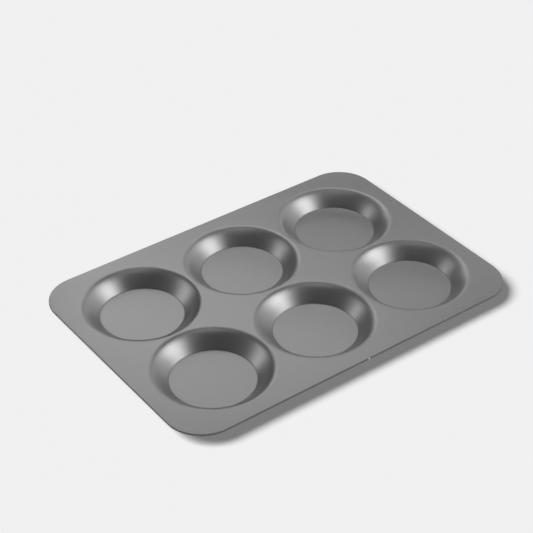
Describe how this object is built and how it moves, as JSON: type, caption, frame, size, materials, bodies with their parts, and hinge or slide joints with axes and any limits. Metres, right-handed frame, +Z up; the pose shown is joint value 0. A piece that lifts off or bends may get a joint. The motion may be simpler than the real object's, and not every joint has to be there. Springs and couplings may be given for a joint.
{
  "type": "yorkshire pudding tray",
  "caption": "Flat rectangular baking tray with rounded corners and shallow round cups with sloping walls, pressed from satin grey anodised aluminium sheet.",
  "frame": {"origin": "under the middle of the tray, on the plane of the cup undersides that it stands on", "axes": "+X along the long side, left to right; +Y from the front row of cups to the back row; +Z up, out of the cup mouths"},
  "size_m": [0.3554, 0.2464, 0.0147],
  "materials": {
    "anodised_sheet": "satin"
  },
  "bodies": {
    "root": {"deck": "anodised_sheet", "cup_front_left": "anodised_sheet", "cup_front_middle": "anodised_sheet", "cup_front_right": "anodised_sheet", "cup_back_left": "anodised_sheet", "cup_back_middle": "anodised_sheet", "cup_back_right": "anodised_sheet"}
  },
  "joints": []
}
